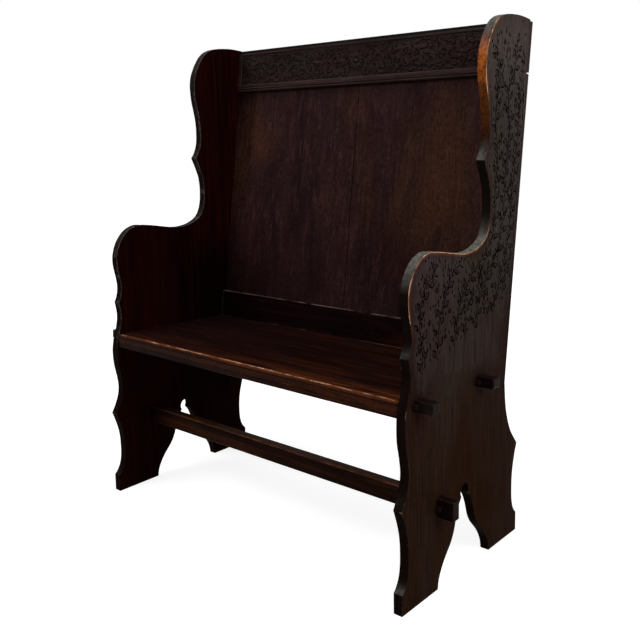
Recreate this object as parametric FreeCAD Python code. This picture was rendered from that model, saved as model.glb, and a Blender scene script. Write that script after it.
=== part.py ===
import FreeCAD, Part
import math
import os

# A knock-down oak settle: two shaped plank sides, a seat board and a stretcher
# whose tenons pass right through the sides and are held by tapered keys, and a
# raked back of two wide boards under a carved frieze rail.
# Millimetres. X runs along the seat, the front faces -Y, and Z is up. While the
# pieces are made, y = 0 lies midway between the front toe and the rear heel.

Vector = FreeCAD.Vector

# Overall sizes
OVERALL_WIDTH = 990.0
SIDE_THICKNESS = 22.0
FOOT_SPAN = 492.0
EAR_HEIGHT = 1256.0

# Outline of the sides: heights and places of the points between its curves
TOE_HEIGHT = 46.0
FOOT_HOLLOW = 24.0
FOOT_CUSP_HEIGHT = 225.0
SEAT_CUSP_ABOVE_SEAT = 87.0
SEAT_CUSP_SETBACK = 25.5
SHIN_HOLLOW = 20.0
ARM_HEIGHT = 745.0
ARM_CROWN_SETBACK = 120.0
WING_CUSP_HEIGHT = 927.0
WING_SETBACK = 320.5
EAR_SETBACK = 468.0
EAR_CORNER_DROP = 7.0

# Arch between the feet, with a round bulb above its neck
ARCH_WIDTH = 221.0
ARCH_NECK_WIDTH = 27.0
ARCH_NECK_HEIGHT = 177.0
ARCH_TOP_HEIGHT = 205.0

# Raked back: the rear edge of the sides leans from this point upwards
BACK_RAKE = 7.8
RAKE_FOOT_SETBACK = 427.5
RAKE_FOOT_HEIGHT = 396.0
BOARD_THICKNESS = 18.0
BOARD_HOUSING = 10.0
TONGUE_THICKNESS = 6.0
TONGUE_LENGTH = 8.0

# Seat
SEAT_HEIGHT = 450.0
SEAT_FALL = 1.8
SEAT_THICKNESS = 22.0
SEAT_FRONT_SETBACK = 18.0
NOSE_RADIUS = 7.0
NOSE_GROOVE_DROP = 8.5
NOSE_GROOVE_RADIUS = 1.6
SEAT_RAIL_HEIGHT = 14.0
SEAT_RAIL_DEPTH = 28.0
SEAT_RAIL_CHAMFER = 1.2
SEAT_TENON_WIDTH = 30.0
SEAT_FRONT_TENON_SETBACK = 26.5
SEAT_REAR_TENON_SETBACK = 274.5

# Stretcher
STRETCHER_HEIGHT = 46.0
STRETCHER_THICKNESS = 26.0
STRETCHER_BOTTOM = 167.0
STRETCHER_SETBACK = 127.0
STRETCHER_SHOULDER = 2.0
STRETCHER_CHAMFER = 2.0

# Through tenons and the tapered keys that hold them
TENON_PROJECTION = 44.0
TENON_END_CHAMFER = 2.5
KEY_HEIGHT = 10.0
KEY_THICK_END = 12.5
KEY_THIN_END = 9.5
KEY_FRONT_PROJECTION = 7.0
KEY_REAR_PROJECTION = 6.0
KEY_SLOT_RELIEF = 2.0

# Frieze rail at the top of the back
TOP_RAIL_HEIGHT = 126.0
TOP_RAIL_DROP = 10.0
TOP_RAIL_THICKNESS = 30.0
TOP_RAIL_LAP = 13.0
TOP_RAIL_LAP_RISE = 6.0
TOP_RAIL_NICK = 3.5
TOP_RAIL_REBATE = 15.0
FRIEZE_TOP_BAND = 12.5
FRIEZE_MOULDING = 21.5
FRIEZE_END_MARGIN = 14.0
FRIEZE_SINK = 2.5
REED_GROOVE = 2.0

# Skirting rail along the back of the seat
LOWER_RAIL_HEIGHT = 73.0
LOWER_RAIL_THICKNESS = 12.0
LOWER_RAIL_CHAMFER = 3.0

# Fasteners, all driven from behind
NAIL_GAUGE = 2.2
NAIL_SHANK_WIDTH = 3.2
NAIL_TIP_WIDTH = 1.6
NAIL_HEAD_WIDTH = 6.0
NAIL_HEAD_DEPTH = 1.2
NAIL_BITE = 7.0
SEAT_NAIL_BITE = 24.0
NAILS_PER_BOARD = 3
NAIL_EDGE_MARGIN = 55.0
SCREW_SHANK_RADIUS = 2.0
SCREW_HEAD_RADIUS = 4.2
SCREW_HEAD_DEPTH = 3.0
SCREW_BITE = 24.0
SCREWS_PER_LAP = 2

# Clearances, and how far a cut runs past the face that it opens
JOINT_CLEARANCE = 0.3
FASTENER_CLEARANCE = 0.15
CUT_OVERRUN = 1.0

# Sizes that follow from those above
OUTER_X = OVERALL_WIDTH / 2
TOP_RAIL_TOP = EAR_HEIGHT - TOP_RAIL_DROP
INNER_X = OUTER_X - SIDE_THICKNESS
TOE_Y = -FOOT_SPAN / 2
SEAT_FRONT_Y = TOE_Y + SEAT_FRONT_SETBACK
RAKE_FOOT_Y = TOE_Y + RAKE_FOOT_SETBACK
RAKE_COS = math.cos(math.radians(BACK_RAKE))
RAKE_TAN = math.tan(math.radians(BACK_RAKE))
REACH = FOOT_SPAN + EAR_HEIGHT


def rake_length(height):
    """Distance up the raked rear plane from its foot to a height above the floor."""
    return (height - RAKE_FOOT_HEIGHT) / RAKE_COS


def rear_y(height):
    """Y of the raked rear plane at a height above the floor."""
    return RAKE_FOOT_Y + (height - RAKE_FOOT_HEIGHT) * RAKE_TAN


def lean(shape):
    """Take a shape from the upright frame of the back to its raked place."""
    leant = shape.copy()
    leant.rotate(Vector(0, 0, 0), Vector(1, 0, 0), -BACK_RAKE)
    leant.translate(Vector(0, RAKE_FOOT_Y, RAKE_FOOT_HEIGHT))
    return leant


def settle_seat(shape):
    """Take a shape from the level frame of the seat, with its origin at the top
    front edge, to its place with the fall to the back."""
    placed = shape.copy()
    placed.rotate(Vector(0, 0, 0), Vector(1, 0, 0), -SEAT_FALL)
    placed.translate(Vector(0, SEAT_FRONT_Y, SEAT_HEIGHT))
    return placed


def box(x_low, x_high, y_low, y_high, z_low, z_high):
    size = (x_high - x_low, y_high - y_low, z_high - z_low)
    return Part.makeBox(*size, Vector(x_low, y_low, z_low))


def line(start, end):
    return Part.LineSegment(Vector(0, *start), Vector(0, *end)).toShape()


def arc(start, middle, end):
    return Part.Arc(Vector(0, *start), Vector(0, *middle), Vector(0, *end)).toShape()


def curve(start, end, shares):
    """Smooth curve between two points of the outline. Each share gives a point
    between them as parts of the way along Y and along Z."""
    width = end[0] - start[0]
    height = end[1] - start[1]
    points = [start]
    for share_y, share_z in shares:
        points.append((start[0] + share_y * width, start[1] + share_z * height))
    points.append(end)
    spline = Part.BSplineCurve()
    spline.interpolate([Vector(0, y, z) for y, z in points])
    return spline.toShape()


def swung_curve(start, end, swing, shares):
    """Curve that rises from start to end and swings off the line between them.
    Each share gives a part of the rise and a part of the swing."""
    points = [start]
    for share_z, share_swing in shares:
        y = start[0] + share_z * (end[0] - start[0]) + share_swing * swing
        points.append((y, start[1] + share_z * (end[1] - start[1])))
    points.append(end)
    spline = Part.BSplineCurve()
    spline.interpolate([Vector(0, y, z) for y, z in points])
    return spline.toShape()


def extrude_x(edges, x_low, x_high):
    """Solid with the closed outline of the edges, given in the YZ plane."""
    face = Part.Face(Part.Wire(edges))
    face.translate(Vector(x_low, 0, 0))
    return face.extrude(Vector(x_high - x_low, 0, 0))


def polygon_x(points, x_low, x_high):
    """Solid with a straight-sided outline, given in the YZ plane."""
    edges = []
    for index, point in enumerate(points):
        edges.append(line(point, points[(index + 1) % len(points)]))
    return extrude_x(edges, x_low, x_high)


def mirrored(shape):
    return shape.mirror(Vector(0, 0, 0), Vector(1, 0, 0))


# Shaped side plank

FOOT_SHARES = [(0.10, 0.63), (0.24, 0.94), (0.42, 1.0), (0.62, 0.90), (0.80, 0.58)]
SHIN_SHARES = [
    (0.06, 0.46), (0.13, 0.86), (0.24, 0.98), (0.375, 0.42), (0.526, -0.08),
    (0.667, -0.04), (0.80, 0.42), (0.875, 0.47), (0.945, 0.27),
]
ARM_FRONT_SHARES = [
    (0.08, 0.08), (0.12, 0.19), (0.095, 0.30), (0.038, 0.41), (-0.005, 0.555),
    (0.057, 0.728), (0.181, 0.832), (0.448, 0.952),
]
ARM_TOP_SHARES = [
    (0.175, -0.019), (0.43, -0.068), (0.63, -0.093), (0.816, -0.073), (0.94, -0.029),
    (1.045, 0.045), (1.112, 0.169), (1.15, 0.431), (1.119, 0.703), (1.07, 0.837),
]
WING_SHARES = [
    (0.091, 0.057), (0.146, 0.131), (0.157, 0.23), (0.134, 0.35), (0.061, 0.495),
    (0.032, 0.605), (0.077, 0.75), (0.165, 0.83), (0.25, 0.888), (0.36, 0.937),
    (0.53, 0.975), (0.76, 0.994),
]
CALF_SHARES = [(0.022, 0.158), (0.109, 0.389), (0.333, 0.642), (0.55, 0.79), (0.84, 0.915)]
ARCH_SHARES = [
    (0.03, 0.11), (0.14, 0.237), (0.30, 0.354), (0.49, 0.463), (0.64, 0.585),
    (0.73, 0.712), (0.80, 0.83), (0.90, 0.94),
]


def foot_edge(side):
    """Toe, hollow and cusp of one foot: side is -1 at the front and 1 at the rear."""
    toe_top = (side * -TOE_Y, TOE_HEIGHT)
    cusp = (side * -TOE_Y, FOOT_CUSP_HEIGHT)
    hollow = swung_curve(toe_top, cusp, -side * FOOT_HOLLOW, FOOT_SHARES)
    return [line((side * -TOE_Y, 0), toe_top), hollow]


def side_outline():
    front_cusp = (TOE_Y, FOOT_CUSP_HEIGHT)
    rear_cusp = (-TOE_Y, FOOT_CUSP_HEIGHT)
    seat_cusp = (TOE_Y + SEAT_CUSP_SETBACK, SEAT_HEIGHT + SEAT_CUSP_ABOVE_SEAT)
    arm_crown = (TOE_Y + ARM_CROWN_SETBACK, ARM_HEIGHT)
    wing_cusp = (TOE_Y + WING_SETBACK, WING_CUSP_HEIGHT)
    ear_crown = (TOE_Y + EAR_SETBACK, EAR_HEIGHT)
    corner_height = EAR_HEIGHT - EAR_CORNER_DROP
    ear_corner = (rear_y(corner_height), corner_height)
    ear_middle = ((ear_crown[0] + ear_corner[0]) / 2, EAR_HEIGHT - EAR_CORNER_DROP / 4)
    rake_foot = (RAKE_FOOT_Y, RAKE_FOOT_HEIGHT)
    edges = foot_edge(-1)
    edges.append(swung_curve(front_cusp, seat_cusp, SHIN_HOLLOW, SHIN_SHARES))
    edges.append(curve(seat_cusp, arm_crown, ARM_FRONT_SHARES))
    edges.append(curve(arm_crown, wing_cusp, ARM_TOP_SHARES))
    edges.append(curve(wing_cusp, ear_crown, WING_SHARES))
    edges.append(arc(ear_crown, ear_middle, ear_corner))
    edges.append(line(ear_corner, rake_foot))
    edges.append(curve(rake_foot, rear_cusp, CALF_SHARES))
    edges += foot_edge(1)[::-1]
    edges += arch_edges()
    return edges


def arch_edges():
    """The floor line of both feet and the arch between them."""
    half_width = ARCH_WIDTH / 2
    half_neck = ARCH_NECK_WIDTH / 2
    edges = [line((-TOE_Y, 0), (half_width, 0)), line((-half_width, 0), (TOE_Y, 0))]
    for side in (-1, 1):
        foot = (side * half_width, 0)
        neck = (side * half_neck, ARCH_NECK_HEIGHT)
        edges.append(curve(foot, neck, ARCH_SHARES))
    left_neck = (-half_neck, ARCH_NECK_HEIGHT)
    right_neck = (half_neck, ARCH_NECK_HEIGHT)
    edges.append(arc(left_neck, (0, ARCH_TOP_HEIGHT), right_neck))
    return edges


def sorted_edges(edges):
    return Part.__sortEdges__(edges)


def side_plank():
    """The right-hand side, with its mortises, board rebate and rail notch."""
    plank = extrude_x(sorted_edges(side_outline()), INNER_X, OUTER_X)
    for tenon in (seat_tenon_cutter(SEAT_FRONT_TENON_SETBACK),
                  seat_tenon_cutter(SEAT_REAR_TENON_SETBACK),
                  stretcher_tenon_cutter()):
        plank = plank.cut(tenon)
    board_low = rake_length(board_bottom()) - JOINT_CLEARANCE
    rebate = box(INNER_X - CUT_OVERRUN, INNER_X + BOARD_HOUSING,
                 -BOARD_THICKNESS, REACH, board_low, lap_low())
    notch = box(INNER_X - CUT_OVERRUN, OUTER_X + CUT_OVERRUN,
                -TOP_RAIL_LAP, REACH, lap_low() - TOP_RAIL_NICK, REACH)
    plank = plank.cut(lean(rebate)).cut(lean(notch))
    for hole in rail_screws(FASTENER_CLEARANCE):
        plank = plank.cut(hole)
    return plank


# Tenons and keys

def tenon_box(y_low, y_high, z_low, z_high, clearance):
    """A tenon from just inside the plank to its free end. The clearance widens it
    where it cuts its mortise."""
    x_low = INNER_X - CUT_OVERRUN
    x_high = OUTER_X + TENON_PROJECTION
    return box(x_low, x_high, y_low - clearance, y_high + clearance,
               z_low - clearance, z_high + clearance)


def chamfer_end(tenon, x_end):
    """Chamfer the four arrises round the free end of a tenon."""
    edges = []
    for edge in tenon.Edges:
        bounds = edge.BoundBox
        if bounds.XMin > x_end - 0.01:
            edges.append(edge)
    return tenon.makeChamfer(TENON_END_CHAMFER, edges)


def seat_tenon(setback, clearance=0.0):
    """A seat tenon in the level frame of the seat."""
    return tenon_box(setback, setback + SEAT_TENON_WIDTH, -SEAT_THICKNESS, 0, clearance)


def seat_tenon_cutter(setback):
    return settle_seat(seat_tenon(setback, JOINT_CLEARANCE))


def stretcher_span():
    """Front, rear, bottom and top of the stretcher's body."""
    front = TOE_Y + STRETCHER_SETBACK
    rear = front + STRETCHER_THICKNESS
    return front, rear, STRETCHER_BOTTOM, STRETCHER_BOTTOM + STRETCHER_HEIGHT


def stretcher_tenon(clearance=0.0):
    front, rear, bottom, top = stretcher_span()
    return tenon_box(front + STRETCHER_SHOULDER, rear - STRETCHER_SHOULDER,
                     bottom + STRETCHER_SHOULDER, top - STRETCHER_SHOULDER, clearance)


def stretcher_tenon_cutter():
    return stretcher_tenon(JOINT_CLEARANCE)


def tapered_bar(x_low, y_low, y_high, z_middle, height):
    """Bar from x_low to the tapered outer face of the key whose tenon spans y_low
    to y_high."""
    front = y_low - KEY_FRONT_PROJECTION
    rear = y_high + KEY_REAR_PROJECTION
    bottom = z_middle - height / 2
    outline = [
        Vector(x_low, front, bottom),
        Vector(OUTER_X + KEY_THICK_END, front, bottom),
        Vector(OUTER_X + KEY_THIN_END, rear, bottom),
        Vector(x_low, rear, bottom),
    ]
    outline.append(outline[0])
    return Part.Face(Part.makePolygon(outline)).extrude(Vector(0, 0, height))


def key(y_low, y_high, z_middle):
    """Tapered key, driven from the front against the outer face of the right side."""
    return tapered_bar(OUTER_X, y_low, y_high, z_middle, KEY_HEIGHT)


def key_slot(y_low, y_high, z_middle):
    """Slot in a tenon for its key. Its outer wall bears on the key's taper, and
    its inner wall lies behind the face of the side, so that the key draws tight."""
    height = KEY_HEIGHT + 2 * JOINT_CLEARANCE
    return tapered_bar(OUTER_X - KEY_SLOT_RELIEF, y_low, y_high, z_middle, height)


def seat_key_place(setback):
    return setback, setback + SEAT_TENON_WIDTH, -SEAT_THICKNESS / 2


def stretcher_key_place():
    front, rear, bottom, top = stretcher_span()
    return front + STRETCHER_SHOULDER, rear - STRETCHER_SHOULDER, (bottom + top) / 2


# Seat

def nose_section(rear):
    """Section of the seat board, in the level frame: a rounded nose over a groove."""
    groove_top = -NOSE_GROOVE_DROP + NOSE_GROOVE_RADIUS
    groove_low = -NOSE_GROOVE_DROP - NOSE_GROOVE_RADIUS
    nose_back = (NOSE_RADIUS, 0)
    nose_low = (0, groove_top)
    bend = NOSE_RADIUS * (1 - math.sqrt(0.5))
    nose_middle = (bend, groove_top * (1 - math.sqrt(0.5)))
    return [
        line((rear, 0), nose_back),
        arc(nose_back, nose_middle, nose_low),
        arc(nose_low, (NOSE_GROOVE_RADIUS, -NOSE_GROOVE_DROP), (0, groove_low)),
        line((0, groove_low), (0, -SEAT_THICKNESS)),
        line((0, -SEAT_THICKNESS), (rear, -SEAT_THICKNESS)),
        line((rear, -SEAT_THICKNESS), (rear, 0)),
    ]


def behind_boards():
    """Everything behind the front face of the back boards."""
    return lean(box(-REACH, REACH, -BOARD_THICKNESS, REACH, -REACH, REACH))


def seat_back_height(drop):
    """Height of a plane of the seat, at a drop below its top, where it meets the
    front face of the back boards."""
    fall = math.tan(math.radians(SEAT_FALL))
    start = SEAT_HEIGHT - drop / math.cos(math.radians(SEAT_FALL))
    board_face = rear_y(start) - BOARD_THICKNESS / RAKE_COS - SEAT_FRONT_Y
    return start - board_face * fall / (1 + fall * RAKE_TAN)


def board_bottom():
    """The back boards end level with the underside of the seat."""
    return seat_back_height(SEAT_THICKNESS)


def seat_board():
    board = extrude_x(nose_section(FOOT_SPAN), -INNER_X, INNER_X)
    for setback in (SEAT_FRONT_TENON_SETBACK, SEAT_REAR_TENON_SETBACK):
        tenon = chamfer_end(seat_tenon(setback), OUTER_X + TENON_PROJECTION)
        tenon = tenon.cut(key_slot(*seat_key_place(setback)))
        board = board.fuse([tenon, mirrored(tenon)])
    board = settle_seat(board.removeSplitter()).cut(behind_boards())
    for hole in seat_nails(FASTENER_CLEARANCE):
        board = board.cut(hole)
    return board


def seat_front_rail():
    """Strip glued under the front of the seat board, flush with its face."""
    top = -SEAT_THICKNESS
    bottom = top - SEAT_RAIL_HEIGHT
    chamfer = SEAT_RAIL_CHAMFER
    section = [
        (chamfer, top), (SEAT_RAIL_DEPTH, top), (SEAT_RAIL_DEPTH, bottom),
        (chamfer, bottom), (0, bottom + chamfer), (0, top - chamfer),
    ]
    return settle_seat(polygon_x(section, -INNER_X, INNER_X))


def stretcher():
    front, rear, bottom, top = stretcher_span()
    bevel = STRETCHER_CHAMFER
    section = [
        (front + bevel, bottom), (rear - bevel, bottom), (rear, bottom + bevel),
        (rear, top - bevel), (rear - bevel, top), (front + bevel, top),
        (front, top - bevel), (front, bottom + bevel),
    ]
    body = polygon_x(section, -INNER_X, INNER_X)
    tenon = chamfer_end(stretcher_tenon(), OUTER_X + TENON_PROJECTION)
    tenon = tenon.cut(key_slot(*stretcher_key_place()))
    return body.fuse([tenon, mirrored(tenon)]).removeSplitter()


# Back

def top_rail_low():
    """Bottom of the frieze rail, up the rake."""
    return rake_length(TOP_RAIL_TOP) - TOP_RAIL_HEIGHT


def lap_low():
    """Bottom of the laps at the frieze rail's ends, up the rake."""
    return top_rail_low() + TOP_RAIL_LAP_RISE


def top_rail_section():
    """Section of the frieze rail in the upright frame of the back, rear face at
    y = 0: a plain face over a moulding of two reeds, and a rebate for the boards."""
    low = top_rail_low()
    high = low + TOP_RAIL_HEIGHT
    face = -TOP_RAIL_THICKNESS
    reed = FRIEZE_MOULDING / 3
    return [
        line((-BOARD_THICKNESS, low), (face + reed / 2, low)),
        arc((face + reed / 2, low), (face, low + reed / 2), (face + reed / 2, low + reed)),
        line((face + reed / 2, low + reed), (face + REED_GROOVE, low + reed)),
        arc((face + REED_GROOVE, low + reed), (face, low + 1.5 * reed),
            (face + REED_GROOVE, low + 2 * reed)),
        line((face + REED_GROOVE, low + 2 * reed), (face, low + 2 * reed)),
        line((face, low + 2 * reed), (face, high)),
        line((face, high), (0, high)),
        line((0, high), (0, low + TOP_RAIL_REBATE)),
        line((0, low + TOP_RAIL_REBATE), (-BOARD_THICKNESS, low + TOP_RAIL_REBATE)),
        line((-BOARD_THICKNESS, low + TOP_RAIL_REBATE), (-BOARD_THICKNESS, low)),
    ]


def top_rail():
    low = top_rail_low()
    high = low + TOP_RAIL_HEIGHT
    rail = extrude_x(top_rail_section(), -INNER_X, INNER_X)
    lap = box(INNER_X, OUTER_X, -TOP_RAIL_LAP, 0, lap_low(), high)
    rail = rail.fuse([lap, mirrored(lap)]).removeSplitter()
    frieze = box(-INNER_X + FRIEZE_END_MARGIN, INNER_X - FRIEZE_END_MARGIN,
                 -REACH, -TOP_RAIL_THICKNESS + FRIEZE_SINK,
                 low + FRIEZE_MOULDING, high - FRIEZE_TOP_BAND)
    rail = lean(rail.cut(frieze))
    screws = rail_screws(FASTENER_CLEARANCE)
    screws += [mirrored(one) for one in screws]
    for hole in screws + top_rail_nails(FASTENER_CLEARANCE):
        rail = rail.cut(hole)
    return rail


def lower_rail_top():
    """Height of the skirting's top edge, measured on the front of the boards."""
    return seat_back_height(0) + LOWER_RAIL_HEIGHT


def lower_back_rail():
    rear = -BOARD_THICKNESS
    front = rear - LOWER_RAIL_THICKNESS
    top = rake_length(lower_rail_top())
    section = [
        (rear, top), (front + LOWER_RAIL_CHAMFER, top), (front, top - LOWER_RAIL_CHAMFER),
        (front, -REACH), (rear, -REACH),
    ]
    rail = lean(polygon_x(section, -INNER_X, INNER_X))
    under_seat_top = settle_seat(box(-REACH, REACH, -REACH, REACH, -2 * REACH, 0))
    rail = rail.cut(under_seat_top)
    for hole in lower_rail_nails(FASTENER_CLEARANCE):
        rail = rail.cut(hole)
    return rail


def back_board(side):
    """One of the two wide boards. The left one (side -1) carries the tongue and
    the right one the groove of the joint between them."""
    low = rake_length(board_bottom())
    high = top_rail_low() + TOP_RAIL_REBATE
    outer = INNER_X + BOARD_HOUSING - JOINT_CLEARANCE
    tongue_low = -(BOARD_THICKNESS + TONGUE_THICKNESS) / 2
    tongue_high = tongue_low + TONGUE_THICKNESS
    if side < 0:
        board = box(-outer, 0, -BOARD_THICKNESS, 0, low, high)
        tongue = box(-TONGUE_LENGTH, TONGUE_LENGTH, tongue_low, tongue_high, low, high)
        board = board.fuse(tongue).removeSplitter()
    else:
        board = box(0, outer, -BOARD_THICKNESS, 0, low, high)
        groove = box(-CUT_OVERRUN, TONGUE_LENGTH + JOINT_CLEARANCE,
                     tongue_low - JOINT_CLEARANCE, tongue_high + JOINT_CLEARANCE,
                     low - CUT_OVERRUN, high + CUT_OVERRUN)
        board = board.cut(groove)
    corner = box(INNER_X - JOINT_CLEARANCE, outer + CUT_OVERRUN, -REACH, REACH,
                 lap_low() - JOINT_CLEARANCE, high + CUT_OVERRUN)
    board = lean(board.cut([corner, mirrored(corner)]))
    holes = top_rail_nails(FASTENER_CLEARANCE) + lower_rail_nails(FASTENER_CLEARANCE)
    holes += seat_nails(FASTENER_CLEARANCE)
    for hole in holes:
        board = board.cut(hole)
    return board


# Nails and screws, made in the upright frame of the back and driven along +Y

def revolved(points):
    """Turn a profile of (radius, depth) points about the Y axis."""
    outline = [Vector(radius, -depth, 0) for radius, depth in points]
    outline.append(outline[0])
    face = Part.Face(Part.makePolygon(outline))
    return face.revolve(Vector(0, 0, 0), Vector(0, 1, 0), 360)


def nail(length, clearance):
    """Cut nail, sheared from plate of one gauge: a flat head on the rear face of a
    board over a shank that tapers to a blunt tip. A clearance gives the cutter for
    its hole, with no head."""
    shank = NAIL_SHANK_WIDTH / 2 + clearance
    tip = NAIL_TIP_WIDTH / 2 + clearance
    depth = length + clearance
    profile = [(-depth, -tip), (-depth, tip), (0, shank)]
    if clearance == 0:
        head = NAIL_HEAD_WIDTH / 2
        profile += [(0, head), (NAIL_HEAD_DEPTH, head), (NAIL_HEAD_DEPTH, -head), (0, -head)]
    profile.append((0, -shank))
    half_gauge = NAIL_GAUGE / 2 + clearance
    return polygon_x(profile, -half_gauge, half_gauge)


def screw(length, clearance):
    """Countersunk wood screw, its head flush with the surface. A clearance gives
    the cutter for its hole, which starts outside the surface."""
    shank = SCREW_SHANK_RADIUS + clearance
    head = SCREW_HEAD_RADIUS + clearance
    start = -clearance
    return revolved([
        (0, start), (head, start), (head, clearance), (shank, SCREW_HEAD_DEPTH),
        (shank, length - 2 * shank), (0, length + clearance),
    ])


def nail_places():
    """X of each nail, spread evenly over both boards."""
    first = NAIL_EDGE_MARGIN
    last = INNER_X - NAIL_EDGE_MARGIN
    step = (last - first) / (NAILS_PER_BOARD - 1)
    right = [first + step * index for index in range(NAILS_PER_BOARD)]
    return [-x for x in reversed(right)] + right


def nail_row(height_up_rake, length, clearance):
    row = []
    for x in nail_places():
        one = nail(length, clearance)
        one.translate(Vector(x, 0, height_up_rake))
        row.append(lean(one))
    return row


def top_rail_nails(clearance=0.0):
    height = top_rail_low() + TOP_RAIL_REBATE / 2
    return nail_row(height, BOARD_THICKNESS + NAIL_BITE, clearance)


def lower_rail_nails(clearance=0.0):
    height = rake_length(lower_rail_top() - LOWER_RAIL_HEIGHT / 2)
    return nail_row(height, BOARD_THICKNESS + NAIL_BITE, clearance)


def seat_nails(clearance=0.0):
    height = rake_length(seat_back_height(SEAT_THICKNESS / 2))
    return nail_row(height, BOARD_THICKNESS + SEAT_NAIL_BITE, clearance)


def rail_screws(clearance=0.0):
    """Screws through the right-hand lap of the frieze rail into the side."""
    lap_height = TOP_RAIL_HEIGHT - TOP_RAIL_LAP_RISE
    screws = []
    for index in range(SCREWS_PER_LAP):
        one = screw(TOP_RAIL_LAP + SCREW_BITE, clearance)
        height = lap_low() + lap_height * (index + 1) / (SCREWS_PER_LAP + 1)
        one.translate(Vector((INNER_X + OUTER_X) / 2, 0, height))
        screws.append(lean(one))
    return screws


def all_pieces():
    pieces = {}
    right_side = side_plank()
    pieces["side_right"] = right_side
    pieces["side_left"] = mirrored(right_side)
    pieces["seat_board"] = seat_board()
    pieces["seat_front_rail"] = seat_front_rail()
    pieces["stretcher"] = stretcher()
    pieces["top_rail"] = top_rail()
    pieces["lower_back_rail"] = lower_back_rail()
    pieces["back_board_left"] = back_board(-1)
    pieces["back_board_right"] = back_board(1)
    keys = {
        "key_seat_front": settle_seat(key(*seat_key_place(SEAT_FRONT_TENON_SETBACK))),
        "key_seat_rear": settle_seat(key(*seat_key_place(SEAT_REAR_TENON_SETBACK))),
        "key_stretcher": key(*stretcher_key_place()),
    }
    for name, shape in keys.items():
        pieces[name + "_right"] = shape
        pieces[name + "_left"] = mirrored(shape)
    screws = rail_screws()
    pieces["rail_screws"] = Part.makeCompound(screws + [mirrored(one) for one in screws])
    pieces["nails_top_rail"] = Part.makeCompound(top_rail_nails())
    pieces["nails_lower_rail"] = Part.makeCompound(lower_rail_nails())
    pieces["nails_seat"] = Part.makeCompound(seat_nails())
    return pieces


def main():
    os.makedirs("parts", exist_ok=True)
    pieces = all_pieces()
    bounds = Part.makeCompound(list(pieces.values())).BoundBox
    middle = (bounds.YMin + bounds.YMax) / 2
    for name, shape in pieces.items():
        shape = shape.copy()
        shape.translate(Vector(0, -middle, 0))
        shape.exportStep("parts/" + name + ".step")
        print(name, len(shape.Solids), round(shape.Volume), shape.isValid())
    print("size", bounds.XLength, bounds.YLength, bounds.ZLength, "moved", -middle)


main()
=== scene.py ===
"""Looks of the oak settle bench: softened arrises, carved foliage, dark stained oak, a plain white set.

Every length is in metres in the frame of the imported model: X runs along the seat from left to right,
Y from the front to the back and Z up.
"""

import math
import random

import bmesh
import bpy
import numpy as np
from mathutils import Matrix, Vector
from mathutils.geometry import delaunay_2d_cdt

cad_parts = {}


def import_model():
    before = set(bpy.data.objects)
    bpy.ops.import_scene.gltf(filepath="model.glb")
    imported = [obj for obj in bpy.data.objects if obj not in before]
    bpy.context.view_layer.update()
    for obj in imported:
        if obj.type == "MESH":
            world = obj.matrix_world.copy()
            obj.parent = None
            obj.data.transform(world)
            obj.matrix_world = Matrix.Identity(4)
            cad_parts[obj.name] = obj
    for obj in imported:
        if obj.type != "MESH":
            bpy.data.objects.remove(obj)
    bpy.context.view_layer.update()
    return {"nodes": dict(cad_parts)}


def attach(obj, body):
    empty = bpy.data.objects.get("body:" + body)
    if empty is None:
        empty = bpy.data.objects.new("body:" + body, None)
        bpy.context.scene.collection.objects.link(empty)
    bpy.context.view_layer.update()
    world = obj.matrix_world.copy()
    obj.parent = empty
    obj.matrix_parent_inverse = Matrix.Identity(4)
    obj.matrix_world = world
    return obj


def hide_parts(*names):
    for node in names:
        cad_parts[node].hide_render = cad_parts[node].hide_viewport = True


# Camera, from the lines of the photograph
PHOTO_SIDE = 640.0
SENSOR_WIDTH = 36.0
CAMERA_FOCAL_PX = 817.529
CAMERA_AZIMUTH = math.radians(40.852)
CAMERA_ELEVATION = math.radians(7.185)
CAMERA_ROLL = math.radians(-0.928)
CAMERA_PLACE = Vector((1.404942, -1.563569, 0.984247))
CAMERA_SHIFT_Y = -0.125

# The set. A lamp is its name, place, target, size and power.
FLOOR_GLOW = 0.84
GLOW_NEAR = 1.3
GLOW_FAR = 3.6
FLOOR_TONE = 0.40
FLOOR_REACH = 9.0
WHITE = (1.0, 1.0, 1.0, 1.0)
WORLD_LIGHT = 0.34
LAMPS = (
    ("key", (-1.9, -3.0, 3.4), (0.0, 0.0, 0.6), (2.0, 1.6), 88.0),
    ("fill", (3.2, -0.3, 2.7), (0.2, 0.0, 1.0), (1.8, 1.8), 56.0),
    ("top", (0.0, -0.2, 3.6), (0.0, 0.0, 0.6), (2.2, 1.2), 58.0),
)

# Stain, with the painted shade and sheen laid over it
PORE_BLACK = (0.0011, 0.0006, 0.0005, 1.0)
# Painted shade: near black over a side's inner face towards its rear corner, fading out near the floor
CORNER_SHADE_BLACK = (0.0009, 0.0006, 0.0002, 1.0)
# Pale grey: partly dust, partly painted sheen and highlights on edges, arrises, cut lips and crests
DUST_AND_SHEEN_GREY = (0.112, 0.106, 0.094, 1.0)
INNER_FACE = 0.4731
INNER_BLEND = 0.001
CORNER_SHADE_SPANS = (("Y", -0.07, 0.08), ("Z", 0.72, 0.58), ("Z", 0.12, 0.32))
CORNER_SHADE_SHARE = 0.72
SAWN_SHARE = 0.85
PORE_SHARE = 0.65
CUT_SHADE_AND_DIRT_SHARE = 0.92
BARE_START = 0.70
BARE_BY_WEAR = 0.52
BARE_CONTRAST = 6.0
GLOSS_BELOW = 0.07
GLOSS_ABOVE = 0.10
PORE_ROUGHNESS = 0.18
CUT_ROUGHNESS = 0.25
FINE_RELIEF = 0.6
STREAK_BUMP = (0.35, 0.0007)
FINE_BUMP = (0.45, 0.0003)

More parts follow.
